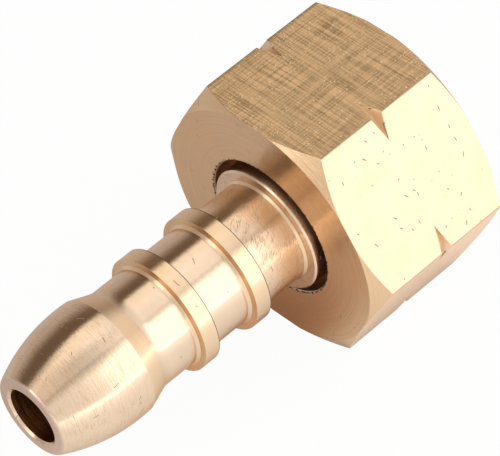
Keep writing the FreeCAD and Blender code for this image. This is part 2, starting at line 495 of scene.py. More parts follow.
def collar_corners(sizes, places):
    """The collar in the nut's front hole, and the flange behind the nut's shoulder."""
    edge = sizes.edge_round
    chamfer = sizes.flange_chamfer
    return [
        (places.collar_face - sizes.collar_root, sizes.stem_radius, FOOT_ROUND, GOLDEN),
        (places.collar_face, sizes.stem_radius + sizes.collar_root, FOOT_ROUND, CUT),
        (places.collar_face, places.collar_r - sizes.collar_chamfer, edge, BRIGHT),
        (places.collar_face + sizes.collar_chamfer, places.collar_r, edge, CUT),
        (sizes.flange_gap, places.collar_r, edge * 2, CUT),
        (sizes.flange_gap, places.flange_r - chamfer, edge, CUT),
        (sizes.flange_gap + chamfer, places.flange_r, edge, CUT),
        (places.flange_front - chamfer, places.flange_r, edge, CUT),
        (places.flange_front, places.flange_r - chamfer, edge, CUT),
        (places.flange_front, places.seat_outer_r, edge, CUT),
        (places.seat_start, places.seat_outer_r, 0.0, BRIGHT),
    ]


def seat_and_bore_corners(sizes, places):
    """The rounded seat, its flat end, and the bore back to the tip."""
    ball_r = places.seat_outer_r / math.sin(sizes.seat_angle)
    ball_x = places.seat_start - math.sqrt(ball_r**2 - places.seat_outer_r**2)
    start = (places.seat_start, places.seat_outer_r)
    ball = arc_points((ball_x, 0.0), start, (places.seat_end, places.seat_inner_r))
    corners = [(*place, 0.0, BRIGHT) for place in ball[1:-1]]
    return corners + [
        (places.seat_end, places.seat_inner_r, sizes.edge_round, CUT),
        (places.seat_end, places.bore_r + sizes.seat_bore_chamfer, sizes.edge_round, CUT),
        (places.seat_end - sizes.seat_bore_chamfer, places.bore_r, sizes.edge_round, BORED),
        (places.tip + sizes.bore_chamfer, places.bore_r, sizes.edge_round, CUT),
    ]


def tail_outline(sizes):
    """The whole half outline of the hose tail, from the bore's mouth round to it again."""
    places = TailPlaces(sizes)
    corners = nose_corners(sizes, places)
    flare = Vector(corners[-1][:2])
    flare_end = Vector((places.flare + sizes.flare_length, sizes.stem_radius))
    corners.append((*flare.lerp(flare_end, sizes.flare_band / sizes.flare_length), 0.0, BRIGHT))
    corners.append((*flare_end, sizes.flare_blend, BRIGHT))
    for number in reversed(range(sizes.rib_count)):
        behind = BRIGHT if number else WORN
        corners += rib_corners(sizes, places, places.first_rib - number * sizes.rib_pitch, behind)
    corners += collar_corners(sizes, places)
    corners += seat_and_bore_corners(sizes, places)
    # the outline closes on itself, so its two ends lie between two corners
    first, last = corners[0], corners[-1]
    join = ((first[0] + last[0]) / 2, (first[1] + last[1]) / 2, 0.0, CUT)
    return rounded([join] + corners + [join])[:-1]


# The union nut's mesh: the same rows in each column, and the columns go round the axis

HEXAGON_SIDES = 6
HALF_SIDE = math.pi / HEXAGON_SIDES
SIDE_PARTS = 24
SIDE_CROWDING = 1.6
CORNER_PARTS = 4
THREAD_ROWS = 20
NOTCH_PARTS = (0.0, 0.3, 0.6, 0.85)
NOTCH_LIP = (-0.05 * MM, -0.02 * MM, 0.01 * MM, 0.04 * MM, 0.08 * MM)
NOTCH_SOFTNESS = 0.03 * MM
# the most that a support row takes of the chamfer it keeps flat
SUPPORT_SHARE = 0.3
# how many relief corners behind the shoulder the thread starts, at the least
THREAD_CLEAR = 1.5
# how far from the hole the front face's inner row lies, in hole chamfers
INNER_ROW = 4
nut_apothem = (nut_high.z - nut_low.z) / 2


def hexagon_columns(rounding):
    """(angle, radius) of points round a hexagon with rounded corners, closer near the corners."""
    tangent = (nut_apothem - rounding) * math.tan(HALF_SIDE)
    centre_r = (nut_apothem - rounding) / math.cos(HALF_SIDE)
    columns = []
    for side in range(HEXAGON_SIDES):
        normal = TAU * (side + 0.5) / HEXAGON_SIDES
        for part in range(-SIDE_PARTS, SIDE_PARTS + 1):
            share = 1 - (1 - abs(part) / SIDE_PARTS) ** SIDE_CROWDING
            along = math.copysign(tangent * share, part)
            columns.append((normal + math.atan2(along, nut_apothem), math.hypot(along, nut_apothem)))
        corner = TAU * (side + 1) / HEXAGON_SIDES
        for part in range(1, CORNER_PARTS):
            turn = (part / CORNER_PARTS - 0.5) * TAU / HEXAGON_SIDES
            along, out = rounding * math.sin(turn), centre_r + rounding * math.cos(turn)
            columns.append((corner + math.atan2(along, out), math.hypot(along, out)))
    return columns


def smooth_min(a, b, softness):
    """The lesser of two values, rounded where they cross."""
    blend = max(softness - abs(a - b), 0.0)
    return min(a, b) - blend**2 / (4 * softness)


def end_edge(reach, sizes, chamfer_r):
    """Rows from the end face over the chamfer to the flat, as (depth, radius, finish).

    reach is the bar's radius in this column. The edge is what a small ball leaves that rolls inside it.
    """
    rounding = sizes.edge_round
    slope = sizes.chamfer_angle
    inner_r = min(chamfer_r - rounding * math.tan(slope / 2), reach - rounding)
    depth = (rounding + math.sin(slope) * (reach - rounding - chamfer_r)) / math.cos(slope)
    centres = ((rounding, inner_r, 0.0, slope), (max(depth, rounding), reach - rounding, slope, math.pi / 2))
    rows = [(0.0, inner_r - SUPPORT, DEEP)]
    for centre_depth, centre_r, start, end in centres:
        steps = max(2, math.ceil((end - start) / ARC_STEP))
        for step in range(steps + 1):
            turn = start + (end - start) * step / steps
            finish = FLAT if end > slope and 2 * step > steps else DEEP
            place = (centre_depth - rounding * math.cos(turn), centre_r + rounding * math.sin(turn))
            rows.append((*place, finish))
    rows.append((rows[-1][0] + SUPPORT, reach, FLAT))
    # two rows keep the chamfer's middle flat
    steps = max(2, math.ceil(slope / ARC_STEP))
    start, end = rows[steps + 1], rows[steps + 2]
    share = min(SUPPORT / max(math.dist(start[:2], end[:2]), HIDDEN_STEP), SUPPORT_SHARE)
    for place, part in ((steps + 2, share), (steps + 3, 1 - share)):
        rows.insert(place, (*(a + (b - a) * part for a, b in zip(start[:2], end[:2])), DEEP))
    return rows


def notch_half(reach, sizes, root_r):
    """Rows from the notch's root to the flat on one side, as (distance from the root, radius, finish)."""
    slope = math.tan(sizes.notch_angle / 2)
    width = max(reach - root_r, 0.0) * slope
    offsets = [width * part for part in NOTCH_PARTS] + [width + lip for lip in NOTCH_LIP]
    rows = []
    for number, offset in enumerate(offsets):
        offset = max(offset, number * HIDDEN_STEP)
        radius = smooth_min(reach, root_r + offset / slope, NOTCH_SOFTNESS)
        rows.append((offset, radius, FLAT if radius > reach - HIDDEN_STEP else MILLED))
    return rows


def nut_outside(reach, sizes):
    """Rows of one column from the front face's rim over the flat to the rear face's rim."""
    front, rear = nut_low.x, nut_high.x
    middle = (front + rear) / 2
    edge = end_edge(reach, sizes, nut_apothem + sizes.chamfer_start)
    notch = notch_half(reach, sizes, nut_apothem / math.cos(HALF_SIDE) - sizes.notch_depth)
    rows = [(front + depth, r, finish) for depth, r, finish in edge]
    rows += [(middle - offset, r, finish) for offset, r, finish in reversed(notch)]
    rows += [(middle + offset, r, finish) for offset, r, finish in notch[1:]]
    return rows + [(rear - depth, r, finish) for depth, r, finish in reversed(edge)]


def nut_inside(sizes):
    """Rows from the rear face through the thread, relief and hole to the front face."""
    places = TailPlaces(bpy.context.scene.tail_sizes)
    front, rear = nut_low.x, nut_high.x
    mouth_r = sizes.thread_major + sizes.mouth_depth
    relief_r = sizes.thread_major + sizes.relief_depth
    hole_r = places.collar_r + sizes.hole_clearance
    thread_start = places.seat_end + sizes.thread_past_seat
    edge, chamfer, corner = sizes.edge_round, sizes.hole_chamfer, sizes.relief_corner
    points = rounded([
        (rear, (mouth_r + nut_apothem) / 2, 0.0, DEEP),
        (rear, mouth_r, edge, DEEP),
        (rear - (mouth_r - places.minor_r), places.minor_r, 0.0, BORED),
        (thread_start, places.minor_r, 0.0, BORED),
        (thread_start - (relief_r - places.minor_r), relief_r, 0.0, BORED),
        (corner, relief_r, 0.0, BORED),
        (0.0, relief_r - corner, edge, CUT),
        (0.0, hole_r + chamfer, edge, CUT),
        # the hole wall in the gap round the collar: a dull finish, with painted shade that darkens it a
        # little
        (-chamfer, hole_r, edge, TARNISHED),
        (front + chamfer, hole_r, edge, TARNISHED),
        (front, hole_r + chamfer, edge, DEEP),
        (front, hole_r + chamfer * INNER_ROW, 0.0, DEEP),
    ])
    rows = []
    step = sizes.thread_pitch / THREAD_ROWS
    for start, end in zip(points, points[1:]):
        threaded = min(start[0], end[0]) > corner * THREAD_CLEAR and start[0] > end[0]
        parts = math.ceil((start[0] - end[0]) / step) if threaded else 1
        for part in range(parts):
            x, r = (a + (b - a) * part / parts for a, b in zip(start[:2], end[:2]))
            rows.append((x, r, start[2]))
    return rows + [points[-1]]


def nut_mesh(sizes):
    """The nut with a plain bore, as one closed grid of columns and rows."""
    inside = nut_inside(sizes)
    vertices, finishes = [], []
    columns = hexagon_columns(sizes.corner_round)
    for turn, reach in columns:
        for x, r, finish in nut_outside(reach, sizes) + inside:
            vertices.append((x, r * math.cos(turn), r * math.sin(turn)))
            finishes.append(finish)
    rows = len(vertices) // len(columns)
    faces = []
    for column in range(len(columns)):
        here, ahead = column * rows, (column + 1) % len(columns) * rows
        for row in range(rows):
            above = (row + 1) % rows
            faces.append((here + row, ahead + row, ahead + above, here + above))
    return finished_mesh("union_nut_blank", vertices, faces, finishes)


def finished_mesh(name, vertices, faces, finishes):
    """A mesh that keeps a finish at each point."""
    mesh = bpy.data.meshes.new(name)
    mesh.from_pydata(vertices, [], faces)
    mesh.attributes.new("finish", "FLOAT", "POINT").data.foreach_set("value", finishes)
    return mesh


# Geometry node trees

MERGE_DISTANCE = 0.0001 * MM
# the least of a face's normal along the axis at which its map runs along the radius
SQUARE_TO_AXIS = 0.7
# height of the sharp thread over one pitch, with 55 degrees between its flanks
FLANK_HEIGHT = 1 / (2 * math.tan(math.radians(27.5)))


def stored(maker, geometry, name, kind, domain, value):
    """The geometry with a value stored on it as a named attribute."""
    inputs = {"Geometry": geometry, "Name": name, "Value": value}
    return maker.add("GeometryNodeStoreNamedAttribute", inputs, data_type=kind, domain=domain)


def stored_finish(maker):
    """The finish that the mesh keeps."""
    return maker.add("GeometryNodeInputNamedAttribute", {"Name": "finish"}, data_type="FLOAT")


def on_face(maker, field):
    """A vector taken once for each face."""
    return maker.add("GeometryNodeFieldOnDomain", {0: field}, data_type="FLOAT_VECTOR", domain="FACE")


def sampled(maker, geometry, index, kind, field):
    """A field's value at one point of a geometry."""
    inputs = {"Geometry": geometry, "Value": field, "Index": index}
    return maker.add("GeometryNodeSampleIndex", inputs, data_type=kind)


def merged(maker, geometry):
    """The geometry with points that lie on each other made one."""
    return maker.add("GeometryNodeMergeByDistance", {"Geometry": geometry, "Distance": MERGE_DISTANCE})


def surface_map_group():
    """Stores a map in millimetres: the way along the outline, and the way round the axis."""
    maker, inputs, outputs = new_group(
        "Surface Map",
        "GeometryNodeTree",
        {"Geometry": "Geometry", "Mean Radius": 5 * MM},
        {"Geometry": "Geometry"},
    )
    position = maker.add("GeometryNodeInputPosition")
    normal = maker.add("GeometryNodeInputNormal")
    facing, _, _ = maker.separate(on_face(maker, normal))
    _, face_y, face_z = maker.separate(on_face(maker, position))
    x, y, z = maker.separate(position)
    face_turn = maker.math("ARCTAN2", face_z, face_y)
    # a face that crosses the seam keeps its corners on one side of it
    short_way = maker.math("WRAP", maker.math("ARCTAN2", z, y) - face_turn, math.pi, -math.pi)
    way_round = (face_turn + short_way) * inputs["Mean Radius"]
    ways = {
        0: abs(facing) > SQUARE_TO_AXIS,
        1: maker.combine(x, way_round),
        2: maker.combine(from_axis(maker, y, z), way_round),
    }
    chosen = maker.add("GeometryNodeSwitch", ways, input_type="VECTOR")
    in_millimetres = maker.scale(chosen, 1 / MM)
    mapped = stored(maker, inputs["Geometry"], "surface", "FLOAT2", "CORNER", in_millimetres)
    maker.join(mapped, outputs["Geometry"])
    return maker.tree


def finish_tree(maker, geometry, inputs, outputs):
    """The last steps of both trees: map, smooth shading, real geometry and a material for each finish."""
    mapped = maker.add(
        "GeometryNodeGroup",
        {"Geometry": geometry, "Mean Radius": inputs["Mean Radius"]},
        node_tree=bpy.data.node_groups.get("Surface Map") or surface_map_group(),
    )
    smooth = maker.add("GeometryNodeSetShadeSmooth", {0: mapped})
    result = maker.add("GeometryNodeRealizeInstances", {0: smooth})
    finish = stored_finish(maker)
    chosen = {"Turned": True, "Drawn": finish < DRAWN_BELOW, "Bored": finish > BORED_OVER}
    for name, selection in chosen.items():
        if name in inputs:
            values = {"Geometry": result, "Selection": selection, "Material": inputs[name]}
            result = maker.add("GeometryNodeSetMaterial", values)
    maker.join(result, outputs["Geometry"])
    return maker.tree


def turning_tree():
    """Turns an outline, given as a row of points (x, 0, radius), about the axis."""
    maker, inputs, outputs = new_group(
        "Turned Piece",
        "GeometryNodeTree",
        {
            "Outline": "Geometry",
            "Segments": 288,
            "Mean Radius": 4 * MM,
            "Turned": "Material",
            "Bored": "Material",
        },
        {"Geometry": "Geometry"},
    )
    outline, segments = inputs["Outline"], inputs["Segments"]
    count = maker.add("GeometryNodeAttributeDomainSize", {0: outline}, "Point Count")
    rows = count + 1
    grid = maker.add("GeometryNodeMeshGrid", {"Vertices X": segments + 1, "Vertices Y": rows})
    index = maker.add("GeometryNodeInputIndex")
    column = maker.math("FLOOR", (index + 0.5) / rows)
    point = maker.math("MODULO", index - column * rows, count)
    place = sampled(maker, outline, point, "FLOAT_VECTOR", maker.add("GeometryNodeInputPosition"))
    finish = sampled(maker, outline, point, "FLOAT", stored_finish(maker))
    x, _, radius = maker.separate(place)
    turn = column / segments * TAU
    y, z = (radius * maker.math(part, turn) for part in ("COSINE", "SINE"))
    marked = stored(maker, grid, "finish", "FLOAT", "POINT", finish)
    turned = maker.add("GeometryNodeSetPosition", {"Geometry": marked, "Position": maker.combine(x, y, z)})
    return finish_tree(maker, merged(maker, turned), inputs, outputs)


def thread_tree():
    """Cuts a left-hand thread into a bore whose rows are close enough for it."""
    maker, inputs, outputs = new_group(
        "Left-hand Thread",
        "GeometryNodeTree",
        {
            "Blank": "Geometry",
            "Pitch": 1.337 * MM,
            "Major Radius": 8.331 * MM,
            "Minor Radius": 7.475 * MM,
            "Softness": 0.2 * MM,
            "Start": 0.5 * MM,
            "Mean Radius": 10 * MM,
            "Turned": "Material",
            "Drawn": "Material",
            "Bored": "Material",
        },
        {"Geometry": "Geometry"},
    )
    pitch, major, minor = inputs["Pitch"], inputs["Major Radius"], inputs["Minor Radius"]
    x, y, z = maker.separate(maker.add("GeometryNodeInputPosition"))
    radius = from_axis(maker, y, z)
    # a left-hand helix goes back along +X as it turns from +Y to +Z
    phase = x / pitch + maker.math("ARCTAN2", z, y) / TAU
    from_root = abs(maker.math("FRACT", phase) - 0.5)
    # sharp 55 degree flanks, which the root and the crest then round
    flank = (0.25 - from_root) * (pitch * (2 * FLANK_HEIGHT)) + (major + minor) * 0.5
    rooted = maker.math("SMOOTH_MIN", flank, major, inputs["Softness"])
    crested = maker.math("SMOOTH_MAX", rooted, minor, inputs["Softness"])
    share = maker.math("MAXIMUM", radius, crested) / radius
    # where the end chamfer runs out on a flat, the blank's rows lie on each other
    cut = {
        "Geometry": merged(maker, inputs["Blank"]),
        "Selection": x > inputs["Start"],
        "Position": maker.combine(x, y * share, z * share),
    }
    return finish_tree(maker, maker.add("GeometryNodeSetPosition", cut), inputs, outputs)


def made_real(name, mesh, tree, values):
    """The piece that a node tree makes of a mesh, as a plain mesh object at the origin."""
    piece = bpy.data.objects.new(name, mesh)
    bpy.context.scene.collection.objects.link(piece)
    modifier = piece.modifiers.new(tree.name, "NODES")
    modifier.node_group = tree
    for item in tree.interface.items_tree:
        if item.in_out == "INPUT" and item.name in values:
            modifier[item.identifier] = values[item.name]
    evaluated = piece.evaluated_get(bpy.context.evaluated_depsgraph_get())
    result = bpy.data.meshes.new_from_object(evaluated)
    piece.modifiers.remove(modifier)
    piece.data = result
    result.name = name
    bpy.data.meshes.remove(mesh)
    return piece


# Shader groups. Lengths in them are in millimetres.

# how much of the radius counts as way along the outline, so that faces square to the axis get rings too
RADIUS_SHARE = 1.37
# waves per millimetre along the drawn lines
SLOW = 0.2


def title(name):
    """The label of a group or a socket, from its name in the script."""
    return name.replace("_", " ").title()


def shader_group(**outputs):
    """Makes a function that adds nodes into a shader group, which is built once, when it is first placed.

    The function's arguments after the maker are the group's inputs, with their defaults. A call of it
    places the group in the maker's tree, and gives back its output or its outputs.
    """

    def group(fill):
        name = title(fill.__name__)
        arguments = list(inspect.signature(fill).parameters.values())[1:]
        inputs = {title(argument.name): argument.default for argument in arguments}

        def placed(maker, **values):
            if name not in bpy.data.node_groups:
                inner, given, sockets = new_group(name, "ShaderNodeTree", inputs, outputs)
                made = fill(inner, *(given[label] for label in inputs))
                for label, value in zip(outputs, made if len(outputs) > 1 else [made]):
                    inner.join(value, sockets[label])
            labelled = {title(key): value for key, value in values.items()}
            node = maker.node("ShaderNodeGroup", labelled, node_tree=bpy.data.node_groups[name])
            results = list(maker.outputs(node).values())
            return results if len(outputs) > 1 else results[0]

        return placed

    return group


def noise(maker, place, detail, roughness):
    """A noise texture's value at one wave per millimetre."""
    inputs = {"Vector": place, "Scale": 1.0, "Detail": detail, "Roughness": roughness}
    return maker.add("ShaderNodeTexNoise", inputs)


def cells(maker, place, scale=1.0, dimensions="2D"):
    """The outputs of a Voronoi texture, whose cells each hold one mark."""
    inputs = {"Vector": place, "Scale": scale}
    return maker.outputs(maker.node("ShaderNodeTexVoronoi", inputs, voronoi_dimensions=dimensions))


def surface_map(maker):
    """The map that Surface Map stores."""
    return maker.add("ShaderNodeUVMap", uv_map="surface")


@shader_group(Place="Vector", Along="Float", Radius="Float")
def part_place(maker):
    """Where a point lies on the part, and how far from its axis."""
    place = maker.scale(maker.add("ShaderNodeTexCoord", output="Object"), 1 / MM)
    x, y, z = maker.separate(place)
    return place, x, from_axis(maker, y, z)


@shader_group(Marks="Float")
def turning_marks(maker, spacing=0.1, change=1.0):
    """The fine rings that a lathe leaves round the axis, changing slowly on their way round."""
    place, along, radius = part_place(maker)
    _, y, z = maker.separate(place)
    share = change / radius
    rings = maker.combine((radius * RADIUS_SHARE + along) / spacing, y * share, z * share)
    return maker.ramp(noise(maker, rings, 3.0, 0.6), 0.25, 0.75)


@shader_group(Along="Float", Across="Float")
def drawn_lines(maker, lines_along=7.0, lines_across=6.0):
    """The crossed lines on the flats of drawn bar: fine lines along it, and stronger ones across it."""
    x, y, z = maker.separate(part_place(maker)[0])
    along = maker.combine(x * SLOW, y * lines_along, z * lines_along)
    across = maker.combine(x * lines_across, y * SLOW, z * SLOW)
    return [maker.ramp(noise(maker, lines, 1.0, 0.5), 0.4, 0.6) for lines in (along, across)]


@shader_group(Grain="Float")
def grain(maker, direction=0.0, per_millimetre=8.0, stretch=2.0):
    """Fine irregular grain on the surface map, longer in one direction than across it."""
    u, v, _ = maker.separate(maker.rotate(surface_map(maker), direction))
    place = maker.combine(u * per_millimetre, v * per_millimetre / stretch)
    return maker.ramp(noise(maker, place, 3.0, 0.6), 0.35, 0.65)


@shader_group(Mask="Float")
def scratches(maker, direction=0.0, length=2.0, spacing=0.4, width=0.04, share=0.3):
    """Sparse straight scratches, all in one direction on the surface map."""
    u, v, _ = maker.separate(maker.rotate(surface_map(maker), direction))
    place = maker.combine(u / length, v / spacing)
    cell = cells(maker, place)
    along, across, _ = maker.separate(maker.vector("SUBTRACT", place, cell["Position"]))
    chance, shortness, _ = maker.separate(cell["Color"])
    line = maker.fall(abs(across) * spacing, width * 0.5, width)
    reach = shortness * 0.3 + 0.12
    return line * maker.fall(abs(along) / reach, 0.6, 1.0) * (chance < share)


@shader_group(Mask="Float")
def nicks(maker, per_millimetre=1.0, direction=0.0, spread=0.5, length=0.6, width=0.04, share=0.3):
    """Sparse small nicks on the surface map, each with its own direction, length and bend."""
    place = maker.scale(surface_map(maker), per_millimetre)
    cell = cells(maker, place)
    chance, own_turn, own_length = maker.separate(cell["Color"])
    turn = direction + (own_turn - 0.5) * spread * 2.0
    offset = maker.rotate(maker.vector("SUBTRACT", place, cell["Position"]), turn)
    along, across = (part / per_millimetre for part in list(maker.separate(offset))[:2])
    bend = along * along * (own_length - 0.5)
    line = maker.fall(abs(across + bend), width * 0.25, width * 0.5)
    reach = length * (own_length * 0.4 + 0.1)
    return line * maker.fall(abs(along) / reach, 0.5, 1.0) * (chance < share)


@shader_group(Mask="Float")
def pits(maker, per_millimetre=2.0, size=0.2, share=0.3):
    """Sparse small pits and specks, each of its own size."""
    cell = cells(maker, part_place(maker)[0], per_millimetre, "3D")
    chance, own_size, _ = maker.separate(cell["Color"])
    reach = size * (own_size * 0.7 + 0.3)
    return maker.fall(cell["Distance"] / reach, 0.6, 1.0) * (chance < share)


@shader_group(Tone="Float")
def handling(maker, waves_per_millimetre=0.3):
    """Soft patches where the metal is a little duller and browner from handling."""
    place = maker.scale(part_place(maker)[0], waves_per_millimetre)
    return maker.ramp(noise(maker, place, 4.0, 0.55), 0.3, 0.7)


# Materials

# the rim of the nut's front hole, in millimetres, where small chips are left
HOLE_EDGE_RADIUS = 5.55
# where the wear at the top flat's back corner starts and is full, in millimetres along Y
BACK_CORNER = (5.2, 5.26)
# how far inside the bar's corners their wear starts and is full, in millimetres
CORNER_WEAR = (0.05, 0.03)
# how near an outer face a point still lies on it, in millimetres
NEAR_FACE = 0.05
LEAST_ROUGHNESS = 0.34


def darker(base, share):
    """A colour made darker."""
    return tuple(part * share for part in base)


def new_metal(name):
    """The maker of a new material's nodes."""
    material = bpy.data.materials.new(name)
    material.use_nodes = True
    return NodeMaker(material.node_tree)


def finish_metal(maker, base, roughness, height, anisotropy):
    """The material's metal shader, with a bump of heights in millimetres.

    Its highlights are stretched across the turning marks.
    """
    shader = maker.tree.nodes["Principled BSDF"]
    inputs = {
        "Base Color": base,
        "Metallic": 1.0,
        "Roughness": roughness,
        "Normal": maker.add("ShaderNodeBump", {"Height": height, "Distance": MM, "Strength": 1.0}),
        "Anisotropic": anisotropy,
        "Tangent": maker.add("ShaderNodeTangent", direction_type="UV_MAP", uv_map="surface"),
    }
    for name, value in inputs.items():
        maker.join(value, shader.inputs[name])
    return shader


def stem_wear(maker, wear):
    """Rubs and slanted nicks on the worn stem beside the collar."""
    short_rubs = scratches(maker, direction=0.9, length=0.9, spacing=0.07, width=0.022, share=0.6)
    long_rubs = scratches(maker, direction=0.6, length=1.8, spacing=0.12, width=0.022, share=0.5)
    slanted = nicks(maker, per_millimetre=1.4, direction=0.9, spread=0.4, length=1.1, width=0.036, share=0.4)
    return maker.math("MAXIMUM", short_rubs, long_rubs) * wear, slanted * (wear * 0.6)


def hole_chips(maker):
    """Small chips at the rim of the nut's front hole."""
    _, along, radius = part_place(maker)
    ragged = grain(maker, per_millimetre=2.5, stretch=1.0) * 0.22 - 0.08
    at_rim = maker.fall(abs(radius - HOLE_EDGE_RADIUS) - ragged, -0.02, 0.0)
    return at_rim * (along < nut_low.x / MM + NEAR_FACE)


def turned_brass(colours):
    """Turned brass: bright rings, duller where the finish says so, with handling marks and small pits."""
    maker = new_metal("turned_brass")
    finish = maker.add("ShaderNodeAttribute", output="Fac", attribute_name="finish")
    milled = maker.fall(finish, *MILLED_FADES)
    cut, golden, deep, worn, faced, stain = (maker.ramp(finish, *limits) for limits in SHOWS.values())
    unmilled = 1.0 - milled
    only_cut = cut - golden
    patches = handling(maker, waves_per_millimetre=0.8)
    tone = handling(maker, waves_per_millimetre=0.35)
    # rings, clearest where the finish is cut, and grooves on the nut's turned faces
    fine_rings = turning_marks(maker, spacing=0.075, change=0.8)
    broad_rings = turning_marks(maker, spacing=0.5, change=1.5)
    faced_rings = fine_rings * (deep - worn)
    rings = fine_rings * (only_cut * 0.6 + 0.4)
    fine_grain = grain(maker, per_millimetre=9.0, stretch=3.0)
    wear = (worn - faced) * maker.ramp(patches, 0.3, 0.9)
    rubbed, slanted = stem_wear(maker, wear)
    loose = nicks(maker, per_millimetre=0.9, spread=3.0, length=0.7, width=0.06, share=0.17)
    all_nicks = maker.math("MAXIMUM", loose, slanted)
    small_pits = pits(maker, per_millimetre=1.5, size=0.10, share=0.10)
    chips = hole_chips(maker)
    # hairlines where the finish is cut
    hairlines = scratches(maker, direction=1.5, length=1.2, spacing=0.05, width=0.018, share=0.7)
    hairlines = hairlines * (maker.ramp(patches, 0.2, 0.7, 0.4, 1.0) * only_cut)
    base = maker.layered(
        colours.turned,
        (milled, colours.golden),
        (golden - worn, colours.golden),
        (deep - worn, colours.deep),
        (faced * 0.8, colours.faced),
        (tone * 0.14, darker(colours.turned, 0.75)),
        (rings * 0.12, darker(colours.golden, 0.6)),
        (faced_rings * 0.2, darker(colours.golden, 0.5)),
        (rubbed * 0.65, darker(colours.deep, 0.36)),
        (chips, darker(colours.dark, 0.5)),
        (all_nicks * (unmilled * 0.65), colours.dark),
        (hairlines * 0.5, colours.groove),
        (small_pits * (unmilled * 0.7), colours.dark),
        # painted shade: the dark line at each rib's rear edge, and a little darkening of the hole wall in
        # the gap
        (stain * 0.9, colours.dark),
    )
    roughness = maker.total(
        (golden, 0.05), (deep, -0.05), (faced, 0.1), (tone, 0.04), (rings, 0.05),
        (all_nicks, 0.2), (wear, 0.06), (milled, 0.15), (chips, 0.3),
    )
    height = maker.total(
        (rings, 0.0025), (faced_rings, 0.006), (broad_rings, 0.003), (fine_grain, 0.0016), (rubbed, -0.0025),
        (chips, -0.001), (all_nicks, -0.01), (small_pits, -0.015), (hairlines, -0.001),
    )
    shader = finish_metal(maker, base, roughness + 0.15, height * unmilled, 0.85)
    shader.inputs["Specular Tint"].default_value = (*colours.grazing, 1.0)


def drawn_brass(colours):
    """The flats of drawn hexagon bar: satin, with crossed lines, specks and a few long scratches."""
    maker = new_metal("drawn_brass")
    # the flat that is on top at rest has clear lines, raised specks with painted glints, and a painted shade
    # that tints it browner, and the others more dark specks
    place, _, radius = part_place(maker)
    _, side, up = maker.separate(place)
    on_top = up > nut_high.z / MM - NEAR_FACE
    clearness = on_top * 0.75 + 0.25
    tone = handling(maker, waves_per_millimetre=0.5)
    worked = maker.ramp(handling(maker, waves_per_millimetre=0.45), 0.6, 1.0)
    lines_along, lines_across = (
        lines * clearness for lines in drawn_lines(maker, lines_along=10.0, lines_across=9.0)
    )
    coarse_along, coarse_across = drawn_lines(maker, lines_along=2.5, lines_across=3.5)
    stripes = lines_across * worked
    dashes = scratches(maker, direction=1.57, length=1.1, spacing=0.13, width=0.05, share=0.7)
    dashes = dashes * (worked * clearness)
    long_marks = scratches(maker, direction=0.02, length=9.0, spacing=0.8, width=0.05, share=0.4) * clearness
    # raised, rougher specks on the top flat, whose pale colour is painted glint
    flecks = pits(maker, per_millimetre=5.0, size=0.34, share=0.6) * on_top
    specks = pits(maker, per_millimetre=2.6, size=0.22, share=0.2) * 0.75
    dents = nicks(maker, per_millimetre=1.3, direction=1.57, spread=0.8, length=0.5, width=0.09, share=0.18)
    marks = maker.math("MAXIMUM", dents, specks) * (1.0 - on_top * 0.8)
    back_corner = maker.ramp(side, *BACK_CORNER) * on_top
    corner = maker.ramp(radius, *(nut_high.y / MM - inset for inset in CORNER_WEAR))
    base = maker.layered(
        colours.drawn,
        # painted shade: the flat on top is tinted browner
        (on_top * 0.3, colours.aged),
        (lines_across * 0.3, colours.groove),
        (lines_along * 0.24, colours.groove),
        (stripes * 0.28, colours.groove),
        (dashes * 0.25, colours.groove),
        (long_marks * 0.3, colours.groove),
        (back_corner * 0.65, colours.groove),
        (flecks * 0.9, colours.fleck),
        (marks, colours.speck),
        (corner * 0.6, darker(colours.drawn, 0.35)),
    )
    roughness = maker.total(
        (lines_across, -0.2), (lines_along, -0.18), (stripes, -0.05), (on_top, 0.2),
        (long_marks, -0.1), (flecks, 0.3), (tone, 0.05),
    )
    height = maker.total(
        (lines_across, -0.0025), (lines_along, -0.002), (coarse_across, 0.003), (coarse_along, 0.001),
        (dashes, -0.001), (flecks, 0.012), (long_marks, -0.004), (marks, -0.02),
    )
    finish_metal(maker, base, maker.math("MAXIMUM", roughness + 0.49, LEAST_ROUGHNESS), height, 0.2)


def bored_brass(colours):
    """Inside the bores and the thread: darker, with rougher rings. The dark red-brown colour is painted
    shade.
    """
    maker = new_metal("bored_brass")
    rings = turning_marks(maker, spacing=0.14, change=0.5)
    tone = handling(maker, waves_per_millimetre=0.6)
    base = maker.layered(
        colours.bored,
        (tone * 0.4, darker(colours.bored, 0.55)),
        (rings * 0.25, darker(colours.bored, 0.6)),
    )
    roughness = maker.total((rings, 0.12), (tone, 0.08)) + 0.24
    finish_metal(maker, base, roughness, rings * 0.006, 0.3)


def brass(make_material):
    """The material that a function makes, made when it is first asked for."""
    name = make_material.__name__
    if name not in bpy.data.materials:
        make_material(bpy.context.scene.brass_colours)
    return bpy.data.materials[name]


# Stage. Azimuths and elevations are in degrees.

WHITE = (1.0, 1.0, 1.0)
FLOOR_DEPTH = 0.02 * MM
FLOOR_SIZE = 3.0
KEY_AZIMUTH = 28.0
LAMP_DISTANCE = 0.6
TOP_SIZE = (1.1, 0.52)
TOP_PLACE = (-0.25, 0.01, 0.5)
BACKDROP_AZIMUTH = 174.0
# the backdrop's colour by the sine of its elevation
BACKDROP = (
    (0.0, (0.52, 0.47, 0.44)),
    (0.14, (0.57, 0.52, 0.49)),
    (0.375, (0.40, 0.34, 0.30)),
    (0.56, (0.17, 0.12, 0.085)),
    (0.68, (0.16, 0.115, 0.08)),
)
OVER_BACKDROP = (0.96, 0.91, 0.79)
# its upper edge, by that sine, rises from right to left by BACKDROP_RISE
BACKDROP_EDGE = (0.72, 0.84)
BACKDROP_RISE = 0.354
BACKDROP_RISE_AZIMUTH = 50.0
